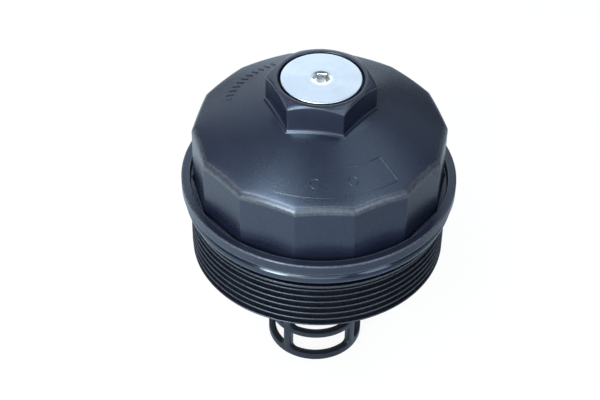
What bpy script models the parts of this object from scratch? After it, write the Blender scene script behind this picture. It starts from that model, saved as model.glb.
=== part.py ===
"""Screw-on cap of a cartridge oil filter housing, with its filter support and bypass valve.

Metres, +Z up along the cap's axis. The origin is the middle of the foot ring of the filter support,
where the assembly stands. The camera side of the object is -Y.
"""
from math import atan2, cos, hypot, pi, radians, sin, sqrt, tan

import bmesh
import bpy
from mathutils import Matrix, Vector

OBJECT_NAME = "oil_filter_cap"
GAP = 0.0003                      # between pieces that touch
ROUNDING = 0.00001                # radians, so that a corner is never read as the one before

# Cap, from the top down
HEX_ACROSS_FLATS = 0.032
HEX_HEIGHT = 0.00985              # at the middle of a flat, above the dome
HEX_RIM = 0.0026                  # from a flat to the plug's head
HEX_CHAMFER = 0.0002              # from a flat to the round edge of the top
HEX_CHAMFER_ANGLE = radians(35)
HEX_TURN = radians(-5.6)          # azimuth of a corner
DOME_FOOT_SLOPE = radians(17)
DOME_CROWN_RADIUS = 0.17          # radius of the dome's arc
DOME_STEPS = 5
SKIRT_FLATS = 14
SKIRT_TURN = radians(-99.7)       # azimuth of a corner
SKIRT_EDGE_RADIUS = 0.002
SKIRT_HEIGHT = 0.0197             # flange's top to the dome, at the middle of a flat
FLANGE_RADIUS = 0.0472            # the skirt in it comes to the standard 84 mm across flats
FLANGE_RIM = 0.003
FLANGE_THICKNESS = 0.0039
FLANGE_EDGE = 0.0004
FLANGE_OVERHANG = 0.00285         # past the thread
MOAT_WIDTH = 0.0022               # from the flange's rim to the skirt's flats
MOAT_DEPTH = 0.0025
GROOVE_WIDTH = 0.00795
GROOVE_DEPTH = 0.00285
LAND_HEIGHT = 0.00095
THREAD_DEPTH = 0.0019
THREAD_PITCH = 0.0027
THREAD_CREST = 0.0005
THREAD_FLANK = radians(20)
THREAD_LENGTH = 0.0177
THREAD_START = radians(-90)       # azimuth where a crest lies THREAD_LOW above the mouth
THREAD_LOW = 0.0004
WALL = 0.0032
CEILING_DEPTH = 0.004958          # from the dome at the hex to the ceiling under it
CEILING_RADIUS = 0.004            # fillet between the inner wall and the ceiling
MOUTH_CHAMFER = 0.0008
AROUND = 42                       # steps around the cap, a multiple of its flats
CHAMFER_STEPS = 48                # around the hex's chamfer
BORE_STEPS = 36                   # around the plug, the support and the retainer's rim

# Drain plug, turned from aluminium
PLUG_HEAD_THICKNESS = 0.003
PLUG_HEAD_CLEARANCE = 0.00085
PLUG_HEAD_OVERHANG = 0.0042       # past the thread
PLUG_HEAD_EDGE = 0.0004
PLUG_THREAD_LENGTH = 0.0096
PLUG_NECK_DEPTH = 0.001
PLUG_NECK_LENGTH = 0.0024
PLUG_END_CHAMFER = 0.001
PLUG_SEAL_SECTION = 0.0018
PLUG_SEAL_STEPS = 30
SOCKET_ACROSS_FLATS = 0.005
SOCKET_DEPTH = 0.0045
SOCKET_MOUTH_RADIUS = 0.0037
SOCKET_MOUTH_DEPTH = 0.0008

# Main seal
SEAL_SECTION = 0.0046
SEAL_BELOW_FLANGE = 0.0011

# Filter support, from the foot up
SUPPORT_RADIUS = 0.0173
SUPPORT_WALL = 0.0025
SUPPORT_PROTRUSION = 0.0476       # foot to the cap's mouth
FOOT_RING_HEIGHT = 0.0031
RING_HEIGHT = 0.0023
WINDOW_ROWS = 6
TOP_BAND = 0.002                  # from the last ring to the retainer's ledge
WINDOW_CORNER = 0.0016
STRUT_COUNT = 4
STRUT_ANGLE = radians(10)
STRUT_TURN = radians(54)          # azimuth of a strut
SUPPORT_EDGE = 0.0004
SNAP_HEIGHT = 0.0018
SNAP_DEPTH = 0.0007
SNAP_BELOW_TOP = 0.0022
COLLAR_WALL = 0.0033
COLLAR_DEPTH = 0.011              # how far the support enters the collar
CHAMBER_HEIGHT = 0.0042           # above the support's top, under the cap's ceiling
INLET_WIDTH = 0.011
INLET_HEIGHT = 0.0028

# Bypass valve in the top of the support
SEAT_PLATE = 0.0026
FLOW_GAP = 0.0036                 # from the plunger's disc to the support's wall
DISC_RIM = 0.0006                 # disc past the washer
DISC_THICKNESS = 0.0014
SEAT_WIDTH = 0.0021               # washer past the hole in the seat plate
WASHER_THICKNESS = 0.0012
HEAD_CLEARANCE = 0.0017           # from the plunger's head to the hole's wall
HEAD_LIP = 0.0008                 # head past the washer's hole
HEAD_THICKNESS = 0.0008
VALVE_STEPS = 24                  # around the plunger, the washer and the retainer's hub
STEM_RADIUS = 0.002
STEM_BELOW_RETAINER = 0.0055
SPRING_WIRE = 0.0014
SPRING_RADIUS = 0.006             # to the middle of the wire
SPRING_TURNS = 6
SPRING_STEPS = 14                 # points in a turn
SPRING_END_RISE = 1.05            # of a closed end turn, in wires
SPRING_LENGTH = 0.017
RETAINER_THICKNESS = 0.002
RETAINER_RIM = 0.002
RETAINER_HUB_RIM = 0.0018         # hub past the middle of the spring's wire
RETAINER_SPOKES = 3
RETAINER_SPOKE_WIDTH = 0.0024
RETAINER_SPOKE_THICKNESS = 0.0016
LEDGE_HEIGHT = 0.0016
LEDGE_DEPTH = 0.0009

# Radii of the cap that follow from the sizes above
MOAT_RADIUS = FLANGE_RADIUS - FLANGE_RIM
SKIRT_RADIUS = MOAT_RADIUS - MOAT_WIDTH
THREAD_RADIUS = FLANGE_RADIUS - FLANGE_OVERHANG
THREAD_ROOT = THREAD_RADIUS - THREAD_DEPTH
GROOVE_RADIUS = THREAD_RADIUS - GROOVE_DEPTH
INNER_RADIUS = SKIRT_RADIUS - WALL
HEX_APOTHEM = HEX_ACROSS_FLATS / 2
HEX_CORNER = HEX_APOTHEM / cos(pi / 6)
HEX_CHAMFER_RADIUS = HEX_APOTHEM - HEX_CHAMFER

# Heights of the cap, from the mouth up to the dome's edge
MOUTH_Z = SUPPORT_PROTRUSION
LAND_Z = MOUTH_Z + THREAD_LENGTH
GROOVE_Z = LAND_Z + LAND_HEIGHT
FLANGE_Z = GROOVE_Z + GROOVE_WIDTH
FLANGE_TOP_Z = FLANGE_Z + FLANGE_THICKNESS
MOAT_Z = FLANGE_TOP_Z - MOAT_DEPTH
SKIRT_TOP_Z = FLANGE_TOP_Z + SKIRT_HEIGHT


def dome_height(radius):
    """Height of the dome's outer face, on an arc that steepens from the hex to the skirt."""
    centre_r = HEX_APOTHEM - DOME_CROWN_RADIUS * sin(DOME_FOOT_SLOPE)
    edge = sqrt(DOME_CROWN_RADIUS ** 2 - (SKIRT_RADIUS - centre_r) ** 2)
    return SKIRT_TOP_Z + sqrt(DOME_CROWN_RADIUS ** 2 - (radius - centre_r) ** 2) - edge


# Drain plug, its face flush with the hex's top
HEX_TOP_Z = dome_height(HEX_APOTHEM) + HEX_HEIGHT
PLUG_TOP_Z = HEX_TOP_Z
PLUG_HEAD_Z = PLUG_TOP_Z - PLUG_HEAD_THICKNESS
PLUG_SHOULDER_Z = PLUG_HEAD_Z - PLUG_NECK_LENGTH
PLUG_END_Z = PLUG_SHOULDER_Z - PLUG_THREAD_LENGTH
PLUG_HEAD_RADIUS = HEX_APOTHEM - HEX_RIM
PLUG_THREAD_RADIUS = PLUG_HEAD_RADIUS - PLUG_HEAD_OVERHANG
PLUG_BORE_RADIUS = PLUG_THREAD_RADIUS + GAP
PLUG_NECK_RADIUS = PLUG_THREAD_RADIUS - PLUG_NECK_DEPTH
PLUG_SEAL_INNER = PLUG_NECK_RADIUS + GAP
PLUG_SEAL_OUTER = PLUG_SEAL_INNER + PLUG_SEAL_SECTION

# Support and valve, hung from the ceiling under the dome
CEILING_Z = dome_height(HEX_APOTHEM) - CEILING_DEPTH
SUPPORT_HEIGHT = CEILING_Z - CHAMBER_HEIGHT
SUPPORT_INNER = SUPPORT_RADIUS - SUPPORT_WALL
COLLAR_INNER = SUPPORT_RADIUS + GAP
COLLAR_RADIUS = COLLAR_INNER + COLLAR_WALL
COLLAR_Z = SUPPORT_HEIGHT - COLLAR_DEPTH
SEAT_Z = SUPPORT_HEIGHT - SEAT_PLATE
WASHER_TOP_Z = SEAT_Z - GAP
DISC_TOP_Z = WASHER_TOP_Z - WASHER_THICKNESS - GAP
DISC_Z = DISC_TOP_Z - DISC_THICKNESS
DISC_RADIUS = SUPPORT_INNER - FLOW_GAP
WASHER_RADIUS = DISC_RADIUS - DISC_RIM
SEAT_HOLE_RADIUS = WASHER_RADIUS - SEAT_WIDTH
HEAD_RADIUS = SEAT_HOLE_RADIUS - HEAD_CLEARANCE
WASHER_HOLE_RADIUS = HEAD_RADIUS - HEAD_LIP
SPRING_TOP_Z = DISC_Z - GAP
SPRING_Z = SPRING_TOP_Z - SPRING_LENGTH
RETAINER_TOP_Z = SPRING_Z - GAP
RETAINER_Z = RETAINER_TOP_Z - RETAINER_THICKNESS
RETAINER_HUB_RADIUS = SPRING_RADIUS + RETAINER_HUB_RIM
LEDGE_TOP_Z = RETAINER_Z - GAP
LEDGE_Z = LEDGE_TOP_Z - LEDGE_HEIGHT
WINDOW_PITCH = (LEDGE_Z - TOP_BAND - FOOT_RING_HEIGHT) / WINDOW_ROWS
WINDOW_HEIGHT = WINDOW_PITCH - RING_HEIGHT


def clear_scene():
    for thing in list(bpy.data.objects):
        bpy.data.objects.remove(thing, do_unlink=True)


def new_collection(name):
    group = bpy.data.collections.new(name)
    bpy.context.scene.collection.children.link(group)
    return group


def make_material(name, colour, roughness, metallic=0.0):
    material = bpy.data.materials.new(name)
    material.use_nodes = True
    shader = material.node_tree.nodes["Principled BSDF"]
    shader.inputs["Base Color"].default_value = (*colour, 1.0)
    shader.inputs["Roughness"].default_value = roughness
    shader.inputs["Metallic"].default_value = metallic
    return material


def add_object(name, mesh, collection, material=None):
    thing = bpy.data.objects.new(name, mesh)
    collection.objects.link(thing)
    if material:
        mesh.materials.clear()
        mesh.materials.append(material)
        mesh.shade_smooth()
        mesh.set_sharp_from_angle(angle=radians(35))
    return thing


def mesh_from(bm, name):
    bmesh.ops.remove_doubles(bm, verts=bm.verts, dist=0.000001)
    bmesh.ops.recalc_face_normals(bm, faces=bm.faces)
    mesh = bpy.data.meshes.new(name)
    bm.to_mesh(mesh)
    bm.free()
    return mesh


def rounded(corners, segments=3):
    """Outline with an arc at each corner that is given as (r, z, radius)."""
    outline = []
    for index, corner in enumerate(corners):
        if len(corner) == 2:
            outline.append(Vector(corner))
            continue
        here = Vector(corner[:2])
        to_last = (Vector(corners[index - 1][:2]) - here).normalized()
        to_next = (Vector(corners[(index + 1) % len(corners)][:2]) - here).normalized()
        half = to_last.angle(to_next) / 2
        centre = here + (to_last + to_next).normalized() * corner[2] / sin(half)
        start = here + to_last * corner[2] / tan(half) - centre
        sweep = start.angle_signed(here + to_next * corner[2] / tan(half) - centre)
        for step in range(segments + 1):
            outline.append(centre + start @ Matrix.Rotation(sweep * step / segments, 2))
    return outline


def circle(radius, height, section, segments=10):
    """Section of a ring of round cross-section."""
    angles = [2 * pi * step / segments for step in range(segments)]
    return [Vector((radius + section / 2 * cos(a), height - section / 2 * sin(a))) for a in angles]


def turned(name, outline, collection, steps=BORE_STEPS, closed=True):
    """Profile in the XZ plane, turned about Z by a Screw modifier."""
    bm = bmesh.new()
    verts = [bm.verts.new((p[0], 0, p[1])) for p in outline]
    pairs = list(zip(verts, verts[1:]))
    if closed:
        pairs.append((verts[-1], verts[0]))
    for pair in pairs:
        bm.edges.new(pair)
    mesh = bpy.data.meshes.new(name)
    bm.to_mesh(mesh)
    bm.free()
    thing = add_object(name, mesh, collection)
    screw = thing.modifiers.new("turn", "SCREW")
    screw.steps = screw.render_steps = steps
    screw.use_merge_vertices = True
    screw.merge_threshold = 0.00001
    return thing


def finish(thing, material):
    thing.data.materials.append(material)
    thing.data.shade_smooth()
    return thing


def as_cutter(thing):
    thing.hide_render = True
    thing.display_type = "WIRE"
    return thing


def boolean(thing, other, operation):
    change = thing.modifiers.new(operation.lower() + " " + other.name, "BOOLEAN")
    change.operation = operation
    change.solver = "EXACT"
    change.object = other
    as_cutter(other)
    return change


def prism(name, sides, radius, low, high, turn, collection):
    """Upright prism with a corner at azimuth turn."""
    bm = bmesh.new()
    bmesh.ops.create_cone(bm, cap_ends=True, segments=sides, radius1=radius, radius2=radius,
                          depth=high - low)
    bmesh.ops.rotate(bm, verts=bm.verts, matrix=Matrix.Rotation(turn - pi / 2, 3, "Z"))
    bmesh.ops.translate(bm, verts=bm.verts, vec=(0, 0, (low + high) / 2))
    return add_object(name, mesh_from(bm, name), collection)


def box(name, size, centre, turn, collection):
    bm = bmesh.new()
    bmesh.ops.create_cube(bm, size=1.0)
    bmesh.ops.scale(bm, vec=size, verts=bm.verts)
    bmesh.ops.translate(bm, vec=centre, verts=bm.verts)
    bmesh.ops.rotate(bm, verts=bm.verts, matrix=Matrix.Rotation(turn, 3, "Z"))
    return add_object(name, mesh_from(bm, name), collection)


def cap_outer_outline():
    """Dome and skirt down to the channel's floor: the stretch that gets the flats."""
    hidden = HEX_APOTHEM - WALL / 2
    dome_end = SKIRT_RADIUS - SKIRT_EDGE_RADIUS
    outline = [Vector((0, dome_height(hidden)))]
    for step in range(DOME_STEPS + 1):
        radius = hidden + (dome_end - hidden) * step / DOME_STEPS
        outline.append(Vector((radius, dome_height(radius))))
    edge = rounded([
        (dome_end, dome_height(dome_end)),
        (SKIRT_RADIUS, SKIRT_TOP_Z, SKIRT_EDGE_RADIUS),
        (SKIRT_RADIUS, MOAT_Z),
    ])
    return outline + edge[1:]


def cap_lower_outline():
    """Flange, seal groove and the thread's root, down to the mouth."""
    return rounded([
        (MOAT_RADIUS, MOAT_Z),
        (MOAT_RADIUS, FLANGE_TOP_Z),
        (FLANGE_RADIUS - FLANGE_EDGE, FLANGE_TOP_Z),
        (FLANGE_RADIUS, FLANGE_TOP_Z - FLANGE_EDGE),
        (FLANGE_RADIUS, FLANGE_Z),
        (GROOVE_RADIUS, FLANGE_Z),
        (GROOVE_RADIUS, GROOVE_Z),
        (THREAD_RADIUS, GROOVE_Z),
        (THREAD_RADIUS, LAND_Z),
        (THREAD_ROOT, LAND_Z),
        (THREAD_ROOT, MOUTH_Z),
    ])


def ceiling_height(radius):
    return dome_height(radius) - WALL / cos(DOME_FOOT_SLOPE)


def cap_inner_outline():
    """Hollow inside, up from the mouth, with the collar that the support snaps into."""
    outline = rounded([
        (INNER_RADIUS + MOUTH_CHAMFER, MOUTH_Z),
        (INNER_RADIUS, MOUTH_Z + MOUTH_CHAMFER),
        (INNER_RADIUS, ceiling_height(INNER_RADIUS), CEILING_RADIUS),
        (COLLAR_RADIUS, ceiling_height(COLLAR_RADIUS)),
        (COLLAR_RADIUS, COLLAR_Z),
        (COLLAR_INNER + SUPPORT_EDGE, COLLAR_Z),
        (COLLAR_INNER, COLLAR_Z + SUPPORT_EDGE),
    ])
    groove = SUPPORT_HEIGHT - SNAP_BELOW_TOP - SNAP_HEIGHT
    outline += rounded([
        (COLLAR_INNER, groove - GAP),
        (COLLAR_INNER + SNAP_DEPTH, groove + SNAP_DEPTH / 2 - GAP),
        (COLLAR_INNER + SNAP_DEPTH, groove + SNAP_HEIGHT - SNAP_DEPTH / 2 + GAP),
        (COLLAR_INNER, groove + SNAP_HEIGHT + GAP),
        (COLLAR_INNER, CEILING_Z),
        (0, CEILING_Z),
    ])
    return outline


def flute(verts, layer):
    """Push the marked points out from a circle to the flats, and keep the dome a round one."""
    sector = 2 * pi / SKIRT_FLATS
    skirt_middle = (SKIRT_TOP_Z + MOAT_Z) / 2
    for vert in verts:
        if not vert[layer]:
            continue
        azimuth = (atan2(vert.co.y, vert.co.x) + ROUNDING) % sector - sector / 2
        stretch = 1 + vert[layer] * (1 / cos(azimuth) - 1)
        radius = hypot(vert.co.x, vert.co.y)
        vert.co.x *= stretch
        vert.co.y *= stretch
        if vert.co.z > skirt_middle:
            vert.co.z += dome_height(radius * stretch) - dome_height(radius)


def cap_body(collection, material):
    """The moulding without its hex, thread and bore: one closed outline spun about Z."""
    fluted = cap_outer_outline()
    outline = fluted + cap_lower_outline() + cap_inner_outline()
    bm = bmesh.new()
    layer = bm.verts.layers.float.new("flute")
    verts = []
    for index, point in enumerate(outline):
        vert = bm.verts.new((point[0], 0, point[1]))
        if index < len(fluted):
            share = (point[0] - HEX_CORNER) / (SKIRT_RADIUS - SKIRT_EDGE_RADIUS - HEX_CORNER)
            vert[layer] = min(max(share, 0), 1) ** 2
        verts.append(vert)
    edges = [bm.edges.new(pair) for pair in zip(verts, verts[1:])]
    bmesh.ops.spin(bm, geom=verts + edges, cent=(0, 0, 0), axis=(0, 0, 1), angle=2 * pi,
                   steps=AROUND, use_merge=True)
    bmesh.ops.remove_doubles(bm, verts=bm.verts, dist=0.000001)
    flute(bm.verts, layer)
    bmesh.ops.rotate(bm, verts=bm.verts, matrix=Matrix.Rotation(SKIRT_TURN, 3, "Z"))
    return add_object("cap", mesh_from(bm, "cap"), collection, material)


def hex_head(cutters):
    """Hexagon with its top corners turned off, its foot buried in the dome."""
    foot = dome_height(HEX_CORNER) - WALL / 2
    head = prism("hex_head", 6, HEX_CORNER, foot, HEX_TOP_Z, HEX_TURN, cutters)
    wide = HEX_CORNER + WALL
    drop = (wide - HEX_CHAMFER_RADIUS) * tan(HEX_CHAMFER_ANGLE)
    blank = turned("hex_chamfer", [
        (0, HEX_TOP_Z + WALL), (HEX_CHAMFER_RADIUS - WALL / tan(HEX_CHAMFER_ANGLE), HEX_TOP_Z + WALL),
        (wide, HEX_TOP_Z - drop), (wide, foot - WALL), (0, foot - WALL),
    ], cutters, steps=CHAMFER_STEPS, closed=False)
    boolean(head, blank, "INTERSECT")
    return head


def thread_ridge(cutters):
    """Right-hand ridge around the root, run past the mouth and cut off there."""
    rise = THREAD_PITCH / AROUND
    below = THREAD_PITCH
    first = MOUTH_Z + THREAD_LOW - below
    base = THREAD_CREST / 2 + THREAD_DEPTH * tan(THREAD_FLANK)
    steps = int((LAND_Z - base - first) / rise)
    buried = 0.0004
    section = [
        (THREAD_ROOT - buried, -base), (THREAD_ROOT, -base), (THREAD_RADIUS, -THREAD_CREST / 2),
        (THREAD_RADIUS, THREAD_CREST / 2), (THREAD_ROOT, base), (THREAD_ROOT - buried, base),
    ]
    bm = bmesh.new()
    verts = [bm.verts.new((r, 0, first + z)) for r, z in section]
    edges = [bm.edges.new((verts[i - 1], verts[i])) for i in range(len(verts))]
    bmesh.ops.spin(bm, geom=verts + edges, cent=(0, 0, 0), axis=(0, 0, 1), dvec=(0, 0, rise),
                   angle=2 * pi * steps / AROUND, steps=steps)
    bmesh.ops.holes_fill(bm, edges=bm.edges)
    bmesh.ops.rotate(bm, verts=bm.verts, matrix=Matrix.Rotation(THREAD_START, 3, "Z"))
    return add_object("thread_ridge", mesh_from(bm, "thread_ridge"), cutters)


def plug_bore(cutters):
    """Stepped hole for the drain plug: sunk seat for its head, seal seat, thread, drain."""
    over = 0.002
    seat = PLUG_HEAD_Z - GAP
    sunk = PLUG_HEAD_RADIUS + PLUG_HEAD_CLEARANCE
    seal = PLUG_SEAL_OUTER + GAP
    return turned("plug_bore", [
        (0, HEX_TOP_Z + over), (sunk, HEX_TOP_Z + over), (sunk, seat), (seal, seat),
        (seal, PLUG_SHOULDER_Z - GAP), (PLUG_BORE_RADIUS, PLUG_SHOULDER_Z - GAP - (seal - PLUG_BORE_RADIUS)),
        (PLUG_BORE_RADIUS, CEILING_Z - over), (0, CEILING_Z - over),
    ], cutters, closed=False)


def make_cap(collection, cutters, material):
    cap = cap_body(collection, material)
    boolean(cap, thread_ridge(cutters), "UNION")
    boolean(cap, hex_head(cutters), "UNION")
    boolean(cap, plug_bore(cutters), "DIFFERENCE")
    across = 2 * FLANGE_RADIUS
    trim = box("mouth_trim", (across, across, 2 * THREAD_PITCH),
               (0, 0, MOUTH_Z - THREAD_PITCH), 0, cutters)
    boolean(cap, trim, "DIFFERENCE")
    inlet_z = CEILING_Z - INLET_HEIGHT / 2
    for turn in (0, pi / 2):
        inlet = box("collar_inlet", (2 * COLLAR_RADIUS + WALL, INLET_WIDTH, INLET_HEIGHT),
                    (0, 0, inlet_z), STRUT_TURN + pi / 4 + turn, cutters)
        boolean(cap, inlet, "DIFFERENCE")
    return cap


def make_main_seal(collection, material):
    radius = GROOVE_RADIUS + GAP + SEAL_SECTION / 2
    height = FLANGE_Z - SEAL_BELOW_FLANGE - SEAL_SECTION / 2
    seal = turned("main_seal", circle(radius, height, SEAL_SECTION), collection, steps=AROUND)
    seal.rotation_euler.z = SKIRT_TURN
    return finish(seal, material)


def make_drain_plug(collection, cutters, material):
    """Head, neck for the seal, thread's blank and the hex socket."""
    plug = turned("drain_plug", rounded([
        (0, PLUG_TOP_Z),
        (PLUG_HEAD_RADIUS - PLUG_HEAD_EDGE, PLUG_TOP_Z),
        (PLUG_HEAD_RADIUS, PLUG_TOP_Z - PLUG_HEAD_EDGE),
        (PLUG_HEAD_RADIUS, PLUG_HEAD_Z),
        (PLUG_NECK_RADIUS, PLUG_HEAD_Z),
        (PLUG_NECK_RADIUS, PLUG_SHOULDER_Z),
        (PLUG_THREAD_RADIUS, PLUG_SHOULDER_Z),
        (PLUG_THREAD_RADIUS, PLUG_END_Z + PLUG_END_CHAMFER),
        (PLUG_THREAD_RADIUS - PLUG_END_CHAMFER, PLUG_END_Z),
        (0, PLUG_END_Z),
    ]), collection, closed=False)
    socket = prism("plug_socket", 6, SOCKET_ACROSS_FLATS / 2 / cos(pi / 6), PLUG_TOP_Z - SOCKET_DEPTH,
                   PLUG_TOP_Z + SOCKET_DEPTH, HEX_TURN, cutters)
    mouth = turned("plug_socket_mouth", [
        (0, PLUG_TOP_Z + SOCKET_MOUTH_DEPTH), (2 * SOCKET_MOUTH_RADIUS, PLUG_TOP_Z + SOCKET_MOUTH_DEPTH),
        (SOCKET_MOUTH_RADIUS, PLUG_TOP_Z), (0, PLUG_TOP_Z - SOCKET_MOUTH_DEPTH),
    ], cutters, closed=False)
    boolean(plug, socket, "DIFFERENCE")
    boolean(plug, mouth, "DIFFERENCE")
    return finish(plug, material)


def make_drain_plug_seal(collection, material):
    radius = PLUG_SEAL_INNER + PLUG_SEAL_SECTION / 2
    height = PLUG_HEAD_Z - GAP - PLUG_SEAL_SECTION / 2
    section = circle(radius, height, PLUG_SEAL_SECTION, segments=8)
    seal = turned("drain_plug_seal", section, collection, steps=PLUG_SEAL_STEPS)
    return finish(seal, material)


def support_outline():
    """Section of the support's wall: foot, ledge for the retainer, snap bead and seat plate."""
    bead = SUPPORT_HEIGHT - SNAP_BELOW_TOP - SNAP_HEIGHT
    return rounded([
        (SEAT_HOLE_RADIUS, SUPPORT_HEIGHT),
        (SUPPORT_RADIUS - SUPPORT_EDGE, SUPPORT_HEIGHT),
        (SUPPORT_RADIUS, SUPPORT_HEIGHT - SUPPORT_EDGE),
        (SUPPORT_RADIUS, bead + SNAP_HEIGHT),
        (SUPPORT_RADIUS + SNAP_DEPTH, bead + SNAP_HEIGHT - SNAP_DEPTH / 2),
        (SUPPORT_RADIUS + SNAP_DEPTH, bead + SNAP_DEPTH / 2),
        (SUPPORT_RADIUS, bead),
        (SUPPORT_RADIUS, SUPPORT_EDGE),
        (SUPPORT_RADIUS - SUPPORT_EDGE, 0),
        (SUPPORT_INNER, 0),
        (SUPPORT_INNER, LEDGE_Z),
        (SUPPORT_INNER - LEDGE_DEPTH, LEDGE_Z + LEDGE_HEIGHT / 2),
        (SUPPORT_INNER - LEDGE_DEPTH, LEDGE_TOP_Z),
        (SUPPORT_INNER, LEDGE_TOP_Z),
        (SUPPORT_INNER, SEAT_Z),
        (SEAT_HOLE_RADIUS, SEAT_Z),
    ])


def window_cutter(azimuth, low, cutters):
    """Opening between two struts, with round lower corners, cut along the radius."""
    half = pi / STRUT_COUNT - STRUT_ANGLE / 2
    arc = half * SUPPORT_RADIUS
    outline = rounded([
        (-arc, low + WINDOW_HEIGHT), (-arc, low, WINDOW_CORNER),
        (arc, low, WINDOW_CORNER), (arc, low + WINDOW_HEIGHT),
    ])
    inside = SUPPORT_INNER - SUPPORT_WALL
    outside = (SUPPORT_RADIUS + SUPPORT_WALL) / cos(half)
    bm = bmesh.new()
    rings = []
    for radius in (inside, outside):
        ring = []
        for along, height in outline:
            angle = azimuth + along / SUPPORT_RADIUS
            ring.append(bm.verts.new((radius * cos(angle), radius * sin(angle), height)))
        rings.append([bm.edges.new((ring[i - 1], ring[i])) for i in range(len(ring))])
    bmesh.ops.bridge_loops(bm, edges=rings[0] + rings[1])
    bmesh.ops.holes_fill(bm, edges=bm.edges)
    bmesh.ops.triangulate(bm, faces=[face for face in bm.faces if len(face.verts) > 4])
    return add_object("support_window", mesh_from(bm, "support_window"), cutters)


def make_filter_support(collection, cutters, material):
    support = turned("filter_support", support_outline(), collection)
    support.rotation_euler.z = STRUT_TURN
    for row in range(WINDOW_ROWS):
        low = FOOT_RING_HEIGHT + row * WINDOW_PITCH
        for strut in range(STRUT_COUNT):
            azimuth = STRUT_TURN + (strut + 0.5) * 2 * pi / STRUT_COUNT
            boolean(support, window_cutter(azimuth, low, cutters), "DIFFERENCE")
    return finish(support, material)


def make_bypass_valve(collection, material):
    """Plunger: head through the washer, disc that the spring pushes on, guided stem."""
    neck = WASHER_HOLE_RADIUS - GAP
    head_z = WASHER_TOP_Z + GAP
    guide = SPRING_RADIUS - SPRING_WIRE / 2 - GAP
    guide_z = DISC_Z - 2 * SPRING_WIRE
    stem_z = RETAINER_Z - STEM_BELOW_RETAINER
    plunger = turned("bypass_valve", rounded([
        (0, head_z + HEAD_THICKNESS),
        (HEAD_RADIUS, head_z + HEAD_THICKNESS),
        (HEAD_RADIUS, head_z),
        (neck, head_z),
        (neck, DISC_TOP_Z),
        (DISC_RADIUS, DISC_TOP_Z),
        (DISC_RADIUS, DISC_Z),
        (guide, DISC_Z),
        (guide, guide_z),
        (STEM_RADIUS, guide_z),
        (STEM_RADIUS, stem_z),
        (0, stem_z),
    ]), collection, steps=VALVE_STEPS, closed=False)
    return finish(plunger, material)


def make_valve_washer(collection, material):
    washer = turned("valve_washer", [
        (WASHER_HOLE_RADIUS, WASHER_TOP_Z), (WASHER_RADIUS, WASHER_TOP_Z),
        (WASHER_RADIUS, WASHER_TOP_Z - WASHER_THICKNESS),
        (WASHER_HOLE_RADIUS, WASHER_TOP_Z - WASHER_THICKNESS),
    ], collection, steps=VALVE_STEPS)
    return finish(washer, material)


def make_bypass_spring(collection, material):
    """Coil between the retainer and the plunger's disc, with a closed turn at each end."""
    count = SPRING_TURNS * SPRING_STEPS
    low = SPRING_Z + SPRING_WIRE / 2
    travel = SPRING_LENGTH - SPRING_WIRE
    closed = SPRING_WIRE * SPRING_END_RISE / travel
    curve = bpy.data.curves.new("bypass_spring", "CURVE")
    curve.dimensions = "3D"
    curve.bevel_depth = SPRING_WIRE / 2
    curve.bevel_resolution = 2
    curve.use_fill_caps = True
    spline = curve.splines.new("POLY")
    spline.points.add(count)
    for index in range(count + 1):
        turns = index / SPRING_STEPS
        if turns < 1:
            share = closed * turns
        elif turns > SPRING_TURNS - 1:
            share = 1 - closed * (SPRING_TURNS - turns)
        else:
            share = closed + (1 - 2 * closed) * (turns - 1) / (SPRING_TURNS - 2)
        angle = 2 * pi * turns
        spline.points[index].co = (SPRING_RADIUS * cos(angle), SPRING_RADIUS * sin(angle),
                                   low + travel * share, 1)
    curve.materials.append(material)
    spring = bpy.data.objects.new("bypass_spring", curve)
    collection.objects.link(spring)
    return spring


def make_spring_retainer(collection, cutters, material):
    """Hub that guides the stem and carries the spring, spokes, and a rim on the ledge."""
    rim_outer = SUPPORT_INNER - GAP
    rim_inner = rim_outer - RETAINER_RIM
    hub = turned("spring_retainer", [
        (STEM_RADIUS + GAP, RETAINER_TOP_Z), (RETAINER_HUB_RADIUS, RETAINER_TOP_Z),
        (RETAINER_HUB_RADIUS, RETAINER_Z), (STEM_RADIUS + GAP, RETAINER_Z),
    ], collection, steps=VALVE_STEPS)
    rim = turned("retainer_rim", [
        (rim_inner, RETAINER_TOP_Z), (rim_outer, RETAINER_TOP_Z),
        (rim_outer, RETAINER_Z), (rim_inner, RETAINER_Z),
    ], cutters)
    boolean(hub, rim, "UNION")
    length = rim_inner - RETAINER_HUB_RADIUS + RETAINER_RIM
    for spoke in range(RETAINER_SPOKES):
        arm = box("retainer_spoke", (length, RETAINER_SPOKE_WIDTH, RETAINER_SPOKE_THICKNESS),
                  ((rim_inner + RETAINER_HUB_RADIUS) / 2, 0, (RETAINER_TOP_Z + RETAINER_Z) / 2),
                  STRUT_TURN + 2 * pi * spoke / RETAINER_SPOKES, cutters)
        boolean(hub, arm, "UNION")
    return finish(hub, material)


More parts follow.
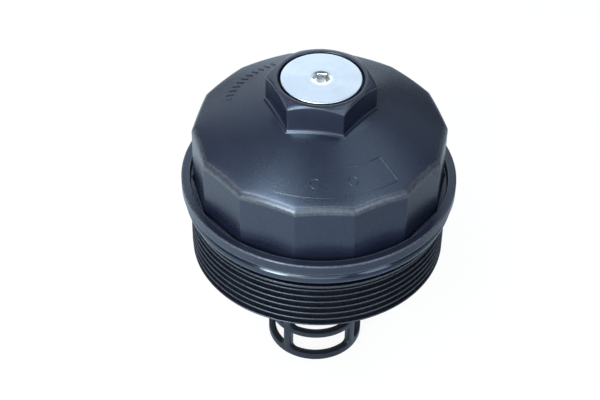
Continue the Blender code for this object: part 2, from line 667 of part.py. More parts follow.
def build():
    clear_scene()
    parts = new_collection(OBJECT_NAME)
    cutters = new_collection("cutters")
    nylon = make_material("black nylon", (0.028, 0.031, 0.037), 0.45)
    cage_nylon = make_material("black nylon support", (0.035, 0.038, 0.043), 0.5)
    seal_rubber = make_material("black seal rubber", (0.02, 0.02, 0.025), 0.25)
    plug_rubber = make_material("plug seal rubber", (0.02, 0.02, 0.02), 0.35)
    washer_rubber = make_material("washer rubber", (0.03, 0.02, 0.018), 0.5)
    aluminium = make_material("turned aluminium", (0.78, 0.84, 0.9), 0.3, 1.0)
    steel = make_material("spring steel", (0.45, 0.45, 0.46), 0.3, 1.0)
    valve_nylon = make_material("valve nylon", (0.6, 0.58, 0.52), 0.5)
    retainer_nylon = make_material("retainer nylon", (0.05, 0.05, 0.055), 0.5)

    make_cap(parts, cutters, nylon)
    make_main_seal(parts, seal_rubber)
    make_drain_plug(parts, cutters, aluminium)
    make_drain_plug_seal(parts, plug_rubber)
    make_filter_support(parts, cutters, cage_nylon)
    make_bypass_valve(parts, valve_nylon)
    make_valve_washer(parts, washer_rubber)
    make_bypass_spring(parts, steel)
    make_spring_retainer(parts, cutters, retainer_nylon)


build()
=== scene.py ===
from math import atan2, cos, hypot, pi, radians, sin, sqrt, tan

import bmesh
import bpy
from mathutils import Matrix, Vector


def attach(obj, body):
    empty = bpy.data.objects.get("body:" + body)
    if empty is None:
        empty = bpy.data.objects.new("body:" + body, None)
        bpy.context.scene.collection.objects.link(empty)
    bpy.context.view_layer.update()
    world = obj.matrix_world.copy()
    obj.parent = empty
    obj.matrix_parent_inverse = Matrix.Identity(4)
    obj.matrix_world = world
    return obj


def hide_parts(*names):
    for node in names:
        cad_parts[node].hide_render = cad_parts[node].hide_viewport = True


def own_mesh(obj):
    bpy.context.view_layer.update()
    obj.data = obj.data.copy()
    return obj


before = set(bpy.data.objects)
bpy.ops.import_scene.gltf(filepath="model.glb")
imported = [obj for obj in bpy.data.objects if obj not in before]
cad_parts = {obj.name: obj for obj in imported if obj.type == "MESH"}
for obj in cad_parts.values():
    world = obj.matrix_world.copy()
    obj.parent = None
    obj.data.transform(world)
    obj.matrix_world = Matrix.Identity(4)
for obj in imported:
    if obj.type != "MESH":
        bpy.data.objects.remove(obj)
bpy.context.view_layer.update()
print("frame loaded:", len(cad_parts), "nodes")

millimetre = 0.001   # pieces are drawn in millimetres and scaled once
capBody, sealBody, plugBody, valveBody = "housing_cap", "plug_seal", "plug", "valve"


# Shader sockets that take part in sums
class Wire:
    def __init__(self, finish, socket):
        self.finish, self.socket = finish, socket

    def calc(self, operation, one, other=0.0, clamp=False):
        return self.finish.node("Math", {"operation": operation, "use_clamp": clamp}, {0: one, 1: other})

    def __add__(self, other): return self.calc("ADD", self, other)
    def __radd__(self, other): return self.calc("ADD", other, self)
    def __sub__(self, other): return self.calc("SUBTRACT", self, other)
    def __rsub__(self, other): return self.calc("SUBTRACT", other, self)
    def __mul__(self, other): return self.calc("MULTIPLY", self, other)

    def clamped(self): return self.calc("ADD", self, 0.0, clamp=True)

    def beside(self, name):
        # another output of the same node
        return Wire(self.finish, self.socket.node.outputs[name])


class Finish:
    def __init__(self, name, **plain):
        self.material = bpy.data.materials.new(name)
        self.material.use_nodes = True
        self.tree = self.material.node_tree
        self.shader = self.tree.nodes["Principled BSDF"]
        for socket, value in plain.items():
            self.shader.inputs[socket.replace("_", " ")].default_value = value
        self.place = self.node("TexCoord", out="Object")

    @classmethod
    def ofWorld(cls, world):
        world.use_nodes = True
        paint = cls.__new__(cls)
        paint.tree, paint.shader = world.node_tree, world.node_tree.nodes["Background"]
        return paint

    def node(self, kind, settings=None, inputs=None, out=0):
        made = self.tree.nodes.new("ShaderNode" + kind)
        for key, value in (settings or {}).items():
            setattr(made, key, value)
        for key, value in (inputs or {}).items():
            self.feed(made.inputs[key], value)
        return Wire(self, made.outputs[out])

    def feed(self, socket, value):
        if isinstance(value, Wire):
            self.tree.links.new(value.socket, socket)
        else:
            socket.default_value = value

    def noise(self, scale, detail, roughness):
        return self.node("TexNoise", None, {"Vector": self.place, "Scale": scale,
                                            "Detail": detail, "Roughness": roughness})

    def spread(self, across, scale, detail):
        # noise that only changes with the distance from the axis
        return self.node("TexNoise", {"noise_dimensions": "1D"},
                         {"W": across * scale, "Scale": 1.0, "Detail": detail})

    def speck(self, scale):
        return self.node("TexVoronoi", {"feature": "F1"}, {"Vector": self.place, "Scale": scale})

    def ramp(self, value, low, high):
        return self.node("MapRange", {"clamp": True}, {"Value": value, "From Min": low, "From Max": high})

    def mix(self, share, one, other):
        return self.node("Mix", {"data_type": "RGBA"}, {0: share, 6: one, 7: other}, out=2)

    def bump(self, height, distance, strength, over=None):
        inputs = {"Height": height, "Distance": distance, "Strength": strength}
        if over:
            inputs["Normal"] = over
        return self.node("Bump", None, inputs)

    def reach(self):
        # distance from the object's axis, in metres
        parts = self.node("SeparateXYZ", None, {0: self.place})
        across = self.node("CombineXYZ", None, {0: parts, 1: parts.beside("Y")})
        return self.node("VectorMath", {"operation": "LENGTH"}, {0: across}, out="Value")

    def edge(self):
        return self.node("Attribute", {"attribute_name": "edge"}, out="Fac")

    def finished(self, colour, roughness, normal=None):
        self.feed(self.shader.inputs["Base Color"], colour)
        self.feed(self.shader.inputs["Roughness"], roughness)
        if normal:
            self.feed(self.shader.inputs["Normal"], normal)
        return self.material


# Moulded black nylon of the cap: short fibres, faint flow, edges paled partly for wear and partly as a
# painted highlight, and painted shade on the thread
capFinish = {
    "colour": (0.0042, 0.0055, 0.0135, 1), "pale": (0.0078, 0.0097, 0.021, 1),
    "sheen": (0.66, 0.82, 1, 1), "specular": 0.7,
    "roughness": 0.24, "roughnessSpread": 0.12, "grainRoughness": 0.08, "wornRoughness": 0.06,
    "flow": 55.0, "flowShare": 0.7, "grain": 2600.0, "grainDepth": 0.00004, "grainStrength": 0.55,
    "fibre": 5200.0, "fibreDepth": 0.00002, "fibreStrength": 0.35,
    # paler edges: partly wear, partly a painted highlight along the moulded edges
    "rubbedAndLit": (0.175, 0.172, 0.18, 1), "wearAndShine": 0.5, "rubAndShine": 900.0, "rubAndShineFrom": 0.22, "rubAndShineTo": 0.62,
    "polish": 0.1, "polishedWithin": 0.0195, "polishFade": 0.0008,   # the hexagon is smoother than the dome
    "polishSpares": 0.6,
    "threadShade": 0.6, "threadShadeBelow": 0.068, "threadShadeFade": 0.001,   # painted shade darkens the thread
}


def mouldedNylon(name, values):
    paint = Finish(name, Metallic=0.0, IOR=1.5, Specular_Tint=values["sheen"],
                   Specular_IOR_Level=values["specular"])
    flow = paint.noise(values["flow"], 4.0, 0.6)
    grain = paint.noise(values["grain"], 2.0, 0.5)
    fibre = paint.speck(values["fibre"])
    edge = paint.edge()
    cloud = flow * values["flowShare"] + grain * (1 - values["flowShare"])
    shade = paint.mix(paint.ramp(cloud, 0.3, 0.7), values["colour"], values["pale"])
    # mask of the paler edges, partly wear and partly a painted highlight, broken into patches
    patches = paint.ramp(paint.noise(values["rubAndShine"], 4.0, 0.7), values["rubAndShineFrom"], values["rubAndShineTo"])
    wornAndLit = (edge * patches).clamped()
    within = values["polishedWithin"]
    polish = paint.ramp(paint.reach(), within, within - values["polishFade"])
    height = paint.node("SeparateXYZ", None, {0: paint.place}, out="Z")
    # painted shade: below a height, over the thread, the colour is darkened towards black
    threadShade = paint.ramp(height, values["threadShadeBelow"], values["threadShadeBelow"] - values["threadShadeFade"]) * values["threadShade"]
    shade = paint.mix(threadShade, shade, (0, 0, 0, 1))
    kept = (1 - threadShade - polish * values["polishSpares"]).clamped()
    # paints the edges paler: wear and a painted highlight
    shade = paint.mix(wornAndLit * kept * values["wearAndShine"], shade, values["rubbedAndLit"])
    rough = (values["roughness"] + (flow - 0.5) * values["roughnessSpread"] + grain * values["grainRoughness"]
             - wornAndLit * values["wornRoughness"] - polish * values["polish"])
    normal = paint.bump(grain, values["grainDepth"], values["grainStrength"])
    normal = paint.bump(fibre, values["fibreDepth"], values["fibreStrength"], normal)
    return paint.finished(shade, rough, normal)


# Oiled seal rubber
rubberFinish = {
    "colour": (0.004, 0.0075, 0.018, 1), "dusty": (0.01, 0.015, 0.028, 1), "sheen": (0.74, 0.87, 1, 1),
    "specular": 0.7, "roughness": 0.16, "film": 160.0, "filmRoughness": 0.08, "dust": 1900.0,
    "dustShare": 0.5, "dustRoughness": 0.12, "ripple": 700.0, "rippleDepth": 0.00006, "rippleStrength": 0.4,
}


def sealRubber(name, values):
    paint = Finish(name, Metallic=0.0, IOR=1.5, Specular_Tint=values["sheen"],
                   Specular_IOR_Level=values["specular"])
    film = paint.noise(values["film"], 4.0, 0.6)
    dust = paint.ramp(paint.noise(values["dust"], 5.0, 0.75), 0.56, 0.72)
    shade = paint.mix(dust * values["dustShare"], values["colour"], values["dusty"])
    rough = values["roughness"] + (film - 0.5) * values["filmRoughness"] + dust * values["dustRoughness"]
    ripple = paint.noise(values["ripple"], 3.0, 0.5)
    normal = paint.bump(ripple, values["rippleDepth"], values["rippleStrength"])
    return paint.finished(shade, rough, normal)


# Turned aluminium of the plug
turnedFinish = {
    "colour": (0.71, 0.79, 0.87, 1), "dull": (0.64, 0.71, 0.79, 1), "anisotropy": 0.75,
    "roughness": 0.3, "ringRoughness": 0.07, "cloudRoughness": 0.08, "cloud": 140.0,
    "ringsPerMetre": 5200.0, "ringDepth": 0.000012, "ringStrength": 0.35, "bandsPerMetre": 900.0,
    "socket": (0.82, 0.84, 0.85, 1), "socketFrom": 0.0037, "socketTo": 0.0034, "socketSmoothness": 0.12,
}


def turnedAluminium(name, values):
    paint = Finish(name, Metallic=1.0, Anisotropic=values["anisotropy"])
    across = paint.reach()
    rings = paint.spread(across, values["ringsPerMetre"], 2.0)
    bands = paint.spread(across, values["bandsPerMetre"], 3.0)
    cloud = paint.noise(values["cloud"], 4.0, 0.6)
    shade = paint.mix(paint.ramp(cloud * 0.5 + bands * 0.5, 0.35, 0.7), values["colour"], values["dull"])
    within = paint.ramp(across, values["socketFrom"], values["socketTo"])
    shade = paint.mix(within, shade, values["socket"])
    rough = (values["roughness"] + (rings - 0.5) * values["ringRoughness"]
             + (cloud - 0.5) * values["cloudRoughness"] - within * values["socketSmoothness"])
    normal = paint.bump(rings, values["ringDepth"], values["ringStrength"])
    return paint.finished(shade, rough, normal)


# Drawn spring wire
wireFinish = {
    "colour": (0.42, 0.42, 0.43, 1), "dark": (0.16, 0.155, 0.15, 1), "stain": 260.0, "stainShare": 0.6,
    "roughness": 0.32, "roughnessSpread": 0.2, "drawn": 1600.0, "drawnDepth": 0.00003, "drawnStrength": 0.5,
}


def springSteel(name, values):
    paint = Finish(name, Metallic=1.0)
    drawn = paint.noise(values["drawn"], 4.0, 0.7)
    stain = paint.ramp(paint.noise(values["stain"], 4.0, 0.7), 0.5, 0.75)
    shade = paint.mix(stain * values["stainShare"], values["colour"], values["dark"])
    rough = values["roughness"] + (drawn - 0.5 + stain) * values["roughnessSpread"]
    return paint.finished(shade, rough, paint.bump(drawn, values["drawnDepth"], values["drawnStrength"]))


supportFinish = dict(
    capFinish, colour=(0.004, 0.005, 0.0085, 1), pale=(0.007, 0.0085, 0.013, 1), specular=0.35,
    roughness=0.34, rubbedAndLit=(0.1, 0.11, 0.13, 1), wearAndShine=0.25, flow=90.0, polish=0.0, threadShade=0.0)
valveFinish = dict(
    capFinish, colour=(0.5, 0.47, 0.4, 1), pale=(0.62, 0.59, 0.52, 1), sheen=(1, 1, 1, 1), specular=0.5,
    roughness=0.42, rubbedAndLit=(0.72, 0.69, 0.62, 1), flow=120.0, polish=0.0, threadShade=0.0)

blackNylon = mouldedNylon("blackGlassFilledNylon", capFinish)
supportNylon = mouldedNylon("blackSupportNylon", supportFinish)
valveNylon = mouldedNylon("naturalValveNylon", valveFinish)
oiledRubber = sealRubber("oiledSealRubber", rubberFinish)
plugAluminium = turnedAluminium("turnedPlugAluminium", turnedFinish)
springWire = springSteel("drawnSpringWire", wireFinish)
print("materials made")


# Shapes
edgeSetup = {"gain": 4.5, "least": 0.3, "most": 0.6}   # how far a bend shows as a worn edge with a painted highlight
smoothUpTo = radians(38)


def markEdges(bm):
    # how convex the surface is at each point, for wear and a painted highlight along edges
    layer = bm.verts.layers.float.new("edge")
    ring = bm.verts.layers.int.get("ring")
    bm.normal_update()
    for vert in bm.verts:
        bend = 0.0
        for edge in vert.link_edges:
            other = edge.other_vert(vert)
            along = other.co - vert.co
            if along.length > 1e-6 and not (ring and other[ring] == vert[ring]):
                bend = max(bend, -vert.normal.dot(along) / along.length_squared)
        vert[layer] = min(max(bend * edgeSetup["gain"] - edgeSetup["least"], 0.0), edgeSetup["most"])


def makePiece(name, bm, material, body, slot, *nodes):
    bmesh.ops.scale(bm, vec=(millimetre,) * 3, verts=bm.verts)
    mesh = bpy.data.meshes.new(name)
    bm.to_mesh(mesh)
    bm.free()
    mesh.materials.append(material)
    mesh.shade_smooth()
    mesh.set_sharp_from_angle(angle=smoothUpTo)
    piece = bpy.data.objects.new(name, mesh)
    bpy.context.scene.collection.objects.link(piece)
    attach(piece, body)
    if nodes:
        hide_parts(*nodes)
    print(name, len(mesh.polygons), "faces")
    return piece


def joined(*parts):
    whole = bmesh.new()
    for part in parts:
        mesh = bpy.data.meshes.new("part")
        part.to_mesh(mesh)
        part.free()
        whole.from_mesh(mesh)
        bpy.data.meshes.remove(mesh)
    return whole


def roundedProfile(corners, segments=4, guard=0.3):
    # an arc at each corner given as (radius, height, rounding), with a guard point on either side of it
    points = []
    for index, corner in enumerate(corners):
        if len(corner) == 2:
            points.append(Vector(corner))
            continue
        here = Vector(corner[:2])
        lastWay = Vector(corners[index - 1][:2]) - here
        nextWay = Vector(corners[(index + 1) % len(corners)][:2]) - here
        toLast, toNext = lastWay.normalized(), nextWay.normalized()
        half = toLast.angle(toNext) / 2
        cut = corner[2] / tan(half)
        centre = here + (toLast + toNext).normalized() * corner[2] / sin(half)
        start = here + toLast * cut - centre
        sweep = start.angle_signed(here + toNext * cut - centre)
        if lastWay.length > 2 * (cut + guard):
            points.append(here + toLast * (cut + guard))
        for step in range(segments + 1):
            points.append(centre + start @ Matrix.Rotation(sweep * step / segments, 2))
        if nextWay.length > 2 * (cut + guard):
            points.append(here + toNext * (cut + guard))
    return points


def flatRadius(azimuth, sides, turn, apothem, corner):
    # from the axis to the wall of a prism with rounded corners, the first at azimuth turn
    half = pi / sides
    angle = abs((azimuth - turn) % (2 * half) - half)
    if apothem * tan(angle) <= (apothem - corner) * tan(half):
        return apothem / cos(angle)
    centre = (apothem - corner) / cos(half)
    away = half - angle
    return centre * cos(away) + sqrt(corner ** 2 - (centre * sin(away)) ** 2)


def spunRings(rings, sides, perSide, turn=0.0, crowd=0.0, closed=True):
    # rings spun about Z; each rule then gives a point's radius and height from its azimuth
    bm = bmesh.new()
    tag = bm.verts.layers.int.new("ring")
    verts = []
    for index in range(len(rings)):
        verts.append(bm.verts.new((index + 1, 0, 0)))
        verts[-1][tag] = index
    pairs = list(zip(verts, verts[1:])) + ([(verts[-1], verts[0])] if closed else [])
    edges = [bm.edges.new(pair) for pair in pairs]
    bmesh.ops.spin(bm, geom=verts + edges, cent=(0, 0, 0), axis=(0, 0, 1), angle=2 * pi,
                   steps=sides * perSide, use_merge=True)
    sector = 2 * pi / sides
    for vert in bm.verts:
        place = (atan2(vert.co.y, vert.co.x) + 1e-6) % (2 * pi) / sector
        share = place % 1.0
        azimuth = turn + sector * (place - crowd * sin(2 * pi * share) / (2 * pi))
        radius, height = rings[vert[tag]](azimuth)
        vert.co = (radius * cos(azimuth), radius * sin(azimuth), height)
    bmesh.ops.remove_doubles(bm, verts=bm.verts, dist=0.0004)
    bmesh.ops.recalc_face_normals(bm, faces=bm.faces)
    markEdges(bm)
    return bm


def plainRing(radius, height):
    return lambda azimuth: (radius, height)


def plainRings(points):
    return [plainRing(*point) for point in points]


def turned(points, steps=120, closed=True):
    return spunRings(plainRings(points), 1, steps, closed=closed)


def arcSection(points, angle, steps, turn, rise=0.0):
    # closed section swept about Z, with an end face at each end
    bm = bmesh.new()
    verts = [bm.verts.new((r, 0, z)) for r, z in points]
    edges = [bm.edges.new((verts[i - 1], verts[i])) for i in range(len(verts))]
    bmesh.ops.spin(bm, geom=verts + edges, cent=(0, 0, 0), axis=(0, 0, 1), dvec=(0, 0, rise / steps),
                   angle=angle, steps=steps)
    bmesh.ops.holes_fill(bm, edges=[edge for edge in bm.edges if edge.is_boundary])
    bmesh.ops.rotate(bm, verts=bm.verts, matrix=Matrix.Rotation(turn, 3, "Z"))
    bmesh.ops.recalc_face_normals(bm, faces=bm.faces)
    return bm


def fadeEnds(bm, base, low, pitch, turns, fade=0.2):
    # sinks a thread's ridge into its body over a share of a turn at either end
    for vert in bm.verts:
        share = atan2(vert.co.y, vert.co.x) / (2 * pi) % 1.0
        along = share + round((vert.co.z - low) / pitch - share)
        rest = min(max(min(along, turns - along) / fade, 0.0), 1.0)
        radius = hypot(vert.co.x, vert.co.y)
        factor = (base + (radius - base) * rest) / radius
        vert.co = (vert.co.x * factor, vert.co.y * factor, vert.co.z)


# Cap: hexagon, dome, fourteen flats, flange with its channel, seal groove and thread
capSizes = {
    "hexApothem": 16.0, "hexTop": 118.008, "hexTurn": radians(-5.6), "hexCorner": 0.4, "hexChamfer": 15.8,
    "hexChamferSlope": tan(radians(35)), "hexFoot": 0.95, "skirtApothem": 42.0, "skirtCorner": 1.4,
    "skirtTurn": radians(-99.7), "skirtTop": 97.8, "skirtEdge": 3.0, "flats": 14, "footSlope": radians(17),
    "crown": 170.0, "moatFloor": 75.6, "moatRadius": 44.2, "flangeTop": 78.1, "flangeRadius": 47.2,
    "flangeUnder": 74.2, "grooveRadius": 41.5, "grooveFloor": 66.25, "landUnder": 65.3, "threadRadius": 44.35,
    "threadRoot": 42.45, "mouth": 47.6, "wall": 3.2, "collarRadius": 20.9, "collarInner": 17.6,
    "collarUnder": 88.0, "ceiling": 103.2, "inlet": 2.8, "inletWidth": 11.0, "inletTurn": radians(99),
    "bore": 9.45, "bossTop": 105.6, "domeStart": 15.3, "domeRoot": 106.6, "roundUpTo": 24.0,
    "screwBore": 9.5, "screwFrom": 104.4, "screwTop": 111.2, "sealBore": 10.6, "sealFloor": 112.3,
    "headBore": 14.25, "headFloor": 114.708,
}
cap = capSizes


def domeHeight(radius):
    centre = cap["hexApothem"] - cap["crown"] * sin(cap["footSlope"])
    edge = sqrt(cap["crown"] ** 2 - (cap["skirtApothem"] - centre) ** 2)
    return cap["skirtTop"] + sqrt(cap["crown"] ** 2 - (radius - centre) ** 2) - edge


def flutedRing(radius, height, share=1.0, follow=1.0):
    def rule(azimuth):
        wall = flatRadius(azimuth, cap["flats"], cap["skirtTurn"], cap["skirtApothem"], cap["skirtCorner"])
        reach = radius * (1 + share * (wall / cap["skirtApothem"] - 1))
        return reach, height + follow * (domeHeight(reach) - domeHeight(radius))
    return rule


def capShell():
    domeStart, domeEnd, domeSteps = cap["domeStart"], cap["skirtApothem"] - cap["skirtEdge"], 16
    rings = plainRings([(cap["bore"], cap["ceiling"]), (cap["bore"], cap["bossTop"]),
                        (domeStart, cap["domeRoot"])])
    for step in range(domeSteps + 1):
        radius = domeStart + (domeEnd - domeStart) * step / domeSteps
        share = min(max((radius - cap["roundUpTo"]) / (domeEnd - cap["roundUpTo"]), 0.0), 1.0) ** 2
        rings.append(flutedRing(radius, domeHeight(radius), share))
    edge = roundedProfile([(domeEnd, domeHeight(domeEnd)),
                           (cap["skirtApothem"], cap["skirtTop"], cap["skirtEdge"]),
                           (cap["skirtApothem"], cap["moatFloor"])], 7)
    rings += [flutedRing(*point) for point in edge[1:-1]]
    foot = roundedProfile([(cap["skirtApothem"], cap["skirtTop"]),
                           (cap["skirtApothem"], cap["moatFloor"], 0.5),
                           (cap["moatRadius"], cap["moatFloor"])], 4)
    rings += [flutedRing(*point, follow=0.0) for point in foot[1:-1]]
    lower = roundedProfile([
        (cap["skirtApothem"], cap["moatFloor"]),
        (cap["moatRadius"], cap["moatFloor"], 0.3),
        (cap["moatRadius"], cap["flangeTop"], 0.25),
        (cap["flangeRadius"], cap["flangeTop"], 0.4),
        (cap["flangeRadius"], cap["flangeUnder"], 0.3),
        (cap["grooveRadius"], cap["flangeUnder"], 0.3),
        (cap["grooveRadius"], cap["grooveFloor"], 0.3),
        (cap["threadRadius"], cap["grooveFloor"], 0.25),
        (cap["threadRadius"], cap["landUnder"], 0.3),
        (cap["threadRoot"], cap["landUnder"], 0.3),
        (cap["threadRoot"], cap["mouth"], 0.4),
        (cap["skirtApothem"] - cap["wall"] + 0.8, cap["mouth"], 0.2),
        (cap["skirtApothem"] - cap["wall"], cap["mouth"] + 0.8, 0.4),
    ], 4)
    inner = cap["skirtApothem"] - cap["wall"]
    drop = cap["wall"] / cos(cap["footSlope"])
    upper = roundedProfile([
        (inner, cap["mouth"]), (inner, domeHeight(inner) - drop, 4.0),
        (cap["collarInner"] + 1, domeHeight(cap["collarInner"] + 1) - drop),
    ], 8)
    rings += plainRings(lower[1:]) + plainRings(upper[1:-1])
    rings += plainRings([(cap["collarRadius"], domeHeight(cap["collarRadius"]) - drop),
                         (cap["collarInner"] - 1, cap["ceiling"])])
    return spunRings(rings, cap["flats"], 16, cap["skirtTurn"], crowd=0.8)


def hexRadius(azimuth, out=0.0):
    return flatRadius(azimuth, 6, cap["hexTurn"], cap["hexApothem"] + out, cap["hexCorner"] + out)


def chamferRing(inset, drop, least):
    def rule(azimuth):
        radius = max(hexRadius(azimuth) - inset, cap["hexChamfer"] + least)
        return radius, cap["hexTop"] - drop - (radius - cap["hexChamfer"]) * cap["hexChamferSlope"]
    return rule


def footRing(out, above):
    def rule(azimuth):
        radius = hexRadius(azimuth, out)
        return radius, domeHeight(radius) + above
    return rule


def capHexagon():
    top, foot = cap["hexTop"], cap["hexFoot"]
    bore = roundedProfile([
        (cap["screwBore"], cap["screwFrom"]), (cap["screwBore"], cap["screwTop"]),
        (cap["sealBore"], cap["sealFloor"]), (cap["sealBore"], cap["headFloor"]),
        (cap["headBore"], cap["headFloor"]),
        (cap["headBore"], top, 0.25), (cap["hexChamfer"], top),
    ], 3)
    rings = plainRings(bore)
    rings += [chamferRing(0.5, 0.0, 0.02), chamferRing(0.25, 0.0, 0.03), chamferRing(0.07, 0.04, 0.1),
              chamferRing(0.0, 0.18, 0.2), chamferRing(0.0, 0.5, 0.2), footRing(0.0, foot + 0.4)]
    for step in range(5):
        angle = step * pi / 8
        rings.append(footRing(foot * (1 - cos(angle)), foot * (1 - sin(angle))))
    rings += [footRing(foot + 0.25, -0.012), footRing(foot + 0.45, -0.5)]
    return spunRings(rings, 6, 26, cap["hexTurn"], crowd=0.86)


threadSizes = {"pitch": 2.7, "crest": 0.42, "flank": tan(radians(9)), "low": 0.4, "start": radians(-90),
               "perTurn": 168, "runOut": 0.5}   # the ridge ends inside the land above it


def ridge(root, crestRadius, crest, flank, buried=0.35):
    # section of a thread's ridge with its crest's edges eased
    ease = min(0.12, crest / 3)
    depths = [crestRadius - root + buried, ease + 0.25, ease]
    flanks = [(crestRadius - depth, crest / 2 + depth * flank) for depth in depths]
    under = [(radius, -half) for radius, half in flanks]
    rim = crest / 2 + ease * flank - ease
    return under + [(crestRadius, -rim), (crestRadius, rim)] + flanks[::-1]


def capThread():
    pitch, perTurn = threadSizes["pitch"], threadSizes["perTurn"]
    section = ridge(cap["threadRoot"], cap["threadRadius"], threadSizes["crest"], threadSizes["flank"])
    first = cap["mouth"] + threadSizes["low"] - pitch
    steps = int((cap["landUnder"] + threadSizes["runOut"] - first) / pitch * perTurn)
    bm = arcSection([(r, first + z) for r, z in section], 2 * pi * steps / perTurn, steps,
                    threadSizes["start"], rise=pitch * steps / perTurn)
    everything = bm.verts[:] + bm.edges[:] + bm.faces[:]
    bmesh.ops.bisect_plane(bm, geom=everything, plane_co=(0, 0, cap["mouth"] + 0.02), plane_no=(0, 0, -1),
                           clear_outer=True)
    bmesh.ops.holes_fill(bm, edges=[edge for edge in bm.edges if edge.is_boundary])
    bmesh.ops.recalc_face_normals(bm, faces=bm.faces)
    markEdges(bm)
    return bm


def capCollar():
    # ring that the support snaps into, and the four pillars between its inlets
    shoulder = cap["ceiling"] - cap["inlet"]
    ring = turned(roundedProfile([
        (cap["collarRadius"], shoulder), (cap["collarRadius"], cap["collarUnder"], 0.4),
        (cap["collarInner"], cap["collarUnder"], 0.5), (cap["collarInner"], shoulder),
    ]), 96)
    gap = 2 * atan2(cap["inletWidth"] / 2, cap["collarRadius"])
    pillars = []
    for quarter in range(4):
        pillars.append(arcSection([
            (cap["collarRadius"], shoulder - 0.2), (cap["collarInner"], shoulder - 0.2),
            (cap["collarInner"], cap["ceiling"] + 0.5), (cap["collarRadius"], cap["ceiling"] + 0.5),
        ], pi / 2 - gap, 16, cap["inletTurn"] + gap / 2 + quarter * pi / 2))
    return joined(ring, *pillars)


# Low marks moulded on the dome: the border of a plain field at the front, and bars and rings with no letters
markSizes = {
    "width": 0.42, "height": 0.16, "fieldOuter": 38.1, "fieldInner": 29.1, "fieldLeft": radians(-112.5),
    "fieldRight": radians(-48.5), "fieldInnerLeft": radians(-73), "barWidth": 0.62, "barHeight": 0.26,
    "barInner": 30.8, "barOuter": 33.6, "barFirst": radians(121.5), "barStep": radians(4.6), "bars": 11,
    "ringRadius": 1.5, "ringPlaces": ((33.6, radians(-92)), (33.6, radians(-71))),
}


def domeRib(route, width, height, sunk=0.15, steps=6):
    # rounded rib along a route of (radius, azimuth) places, its foot sunk into the dome
    spots = [Vector((r * cos(a), r * sin(a), domeHeight(r))) for r, a in route]
    bm = bmesh.new()
    last = len(spots) - 1
    rings = []
    for index, spot in enumerate(spots):
        along = (spots[min(index + 1, last)] - spots[max(index - 1, 0)]).normalized()
        aside = along.cross(Vector((0, 0, 1))).normalized()
        above = aside.cross(along)
        ring = []
        for step in range(steps + 1):
            angle = pi * step / steps
            lift = (height + sunk) * sin(angle) - sunk
            ring.append(bm.verts.new(spot + aside * (cos(angle) * width / 2) + above * lift))
        rings.append([bm.edges.new((ring[i - 1], ring[i])) for i in range(len(ring))])
    for one, other in zip(rings, rings[1:]):
        bmesh.ops.bridge_loops(bm, edges=one + other)
    bmesh.ops.holes_fill(bm, edges=[edge for edge in bm.edges if edge.is_boundary])
    bmesh.ops.recalc_face_normals(bm, faces=bm.faces)
    return bm


def arcRoute(radius, start, end, steps):
    return [(radius, start + (end - start) * step / steps) for step in range(steps + 1)]


def ringRoute(radius, azimuth, size, steps=28):
    spots = []
    for step in range(steps + 1):
        angle = 2 * pi * step / steps
        x, y = radius * cos(azimuth) + size * cos(angle), radius * sin(azimuth) + size * sin(angle)
        spots.append((hypot(x, y), atan2(y, x)))
    return spots


def domeMarks():
    values = markSizes
    width, height = values["width"], values["height"]
    side = [(values["fieldOuter"] + (values["fieldInner"] - values["fieldOuter"]) * step / 12,
             values["fieldRight"]) for step in range(13)]
    outer = arcRoute(values["fieldOuter"], values["fieldLeft"], values["fieldRight"], 90)
    inner = arcRoute(values["fieldInner"], values["fieldInnerLeft"], values["fieldRight"], 40)
    marks = [domeRib(route, width, height) for route in (outer, side, inner)]
    for index in range(values["bars"]):
        azimuth = values["barFirst"] + index * values["barStep"]
        route = [(values["barInner"] + (values["barOuter"] - values["barInner"]) * step / 6, azimuth)
                 for step in range(7)]
        marks.append(domeRib(route, values["barWidth"], values["barHeight"]))
    for radius, azimuth in values["ringPlaces"]:
        marks.append(domeRib(ringRoute(radius, azimuth, values["ringRadius"]), width, height))
    return joined(*marks)


makePiece("capMoulding", joined(capShell(), capHexagon(), capThread(), capCollar(), domeMarks()),
          blackNylon, capBody, "cap_nylon", "cap")


# Seals
sealSizes = {"radius": 44.1, "height": 70.8, "section": 4.6}
plugSealSizes = {"radius": 9.4, "height": 113.808, "section": 1.8}


def ringSeal(values, steps, around=26):
    points = []
    for step in range(around):
        angle = 2 * pi * step / around
        points.append((values["radius"] + values["section"] / 2 * cos(angle),
                       values["height"] - values["section"] / 2 * sin(angle)))
    return turned(points, steps)


makePiece("mainSealRing", ringSeal(sealSizes, 224), oiledRubber, capBody, "seal_rubber", "main_seal")
makePiece("plugSealRing", ringSeal(plugSealSizes, 96, 16), oiledRubber, sealBody, "seal_rubber",
          "drain_plug_seal")


# Drain plug
plugSizes = {
    "top": 118.008, "radius": 13.4, "head": 3.0, "neck": 8.2, "shoulder": 112.608, "thread": 9.2, "root": 8.3,
    "end": 103.008, "socket": 2.5, "socketCorner": 0.12, "socketDepth": 4.5, "socketMouth": 3.7,
    "socketSlope": 0.8 / 3.7, "turn": radians(-5.6), "pitch": 1.5, "perTurn": 72, "crest": 0.2,
    "flank": tan(radians(30)), "buried": 0.2, "threadFrom": 1.0, "threadTo": 1.2, "tip": 4.6,
    "tipHollow": 0.6, "faceRings": (12.85, 10.0, 6.5, 4.1),
}


def socketRadius(azimuth):
    return flatRadius(azimuth, 6, plugSizes["turn"], plugSizes["socket"], plugSizes["socketCorner"])


def socketRing(inset, drop):
    def rule(azimuth):
        radius = socketRadius(azimuth) + inset
        below = (plugSizes["socketMouth"] - radius) * plugSizes["socketSlope"]
        return radius, plugSizes["top"] - drop - below
    return rule


